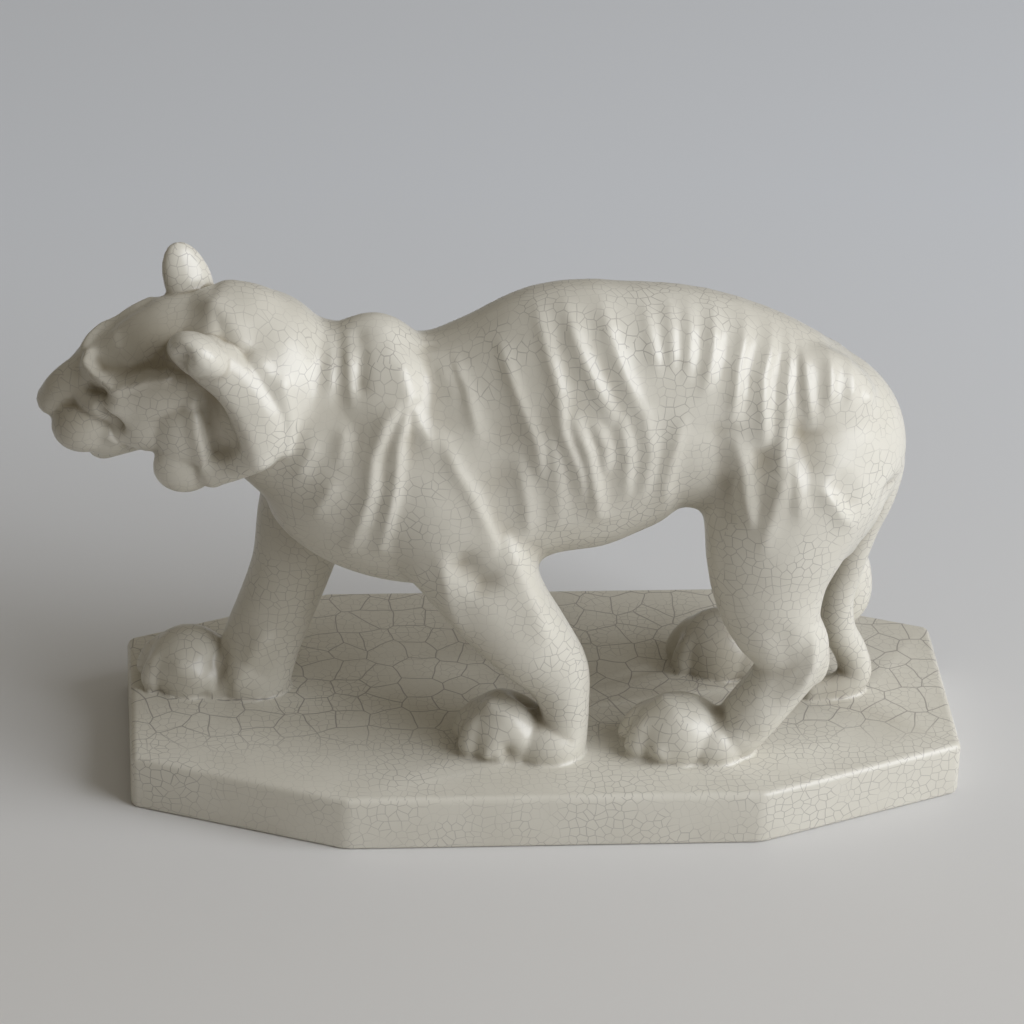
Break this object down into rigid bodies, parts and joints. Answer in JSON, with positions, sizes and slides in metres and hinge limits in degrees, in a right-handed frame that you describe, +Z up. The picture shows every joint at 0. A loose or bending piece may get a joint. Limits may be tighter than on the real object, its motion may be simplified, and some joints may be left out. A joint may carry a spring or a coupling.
{
  "type": "tiger figurine",
  "caption": "Walking tiger with carved stripes on a low base with cut corners, cast in one piece in cream crackle-glazed earthenware.",
  "frame": {"origin": "centre of the base's flat underside", "axes": "+X along the base from the tiger's head to its tail, +Y from its left flank to its right flank, +Z up"},
  "size_m": [0.3759, 0.163, 0.2326],
  "materials": {
    "cream_crackle_glaze": "glossy warm off-white lead-free glaze over cast earthenware, with a net of fine grey-lilac craze lines"
  },
  "bodies": {
    "root": {"tiger_figurine": "cream_crackle_glaze"}
  },
  "joints": []
}
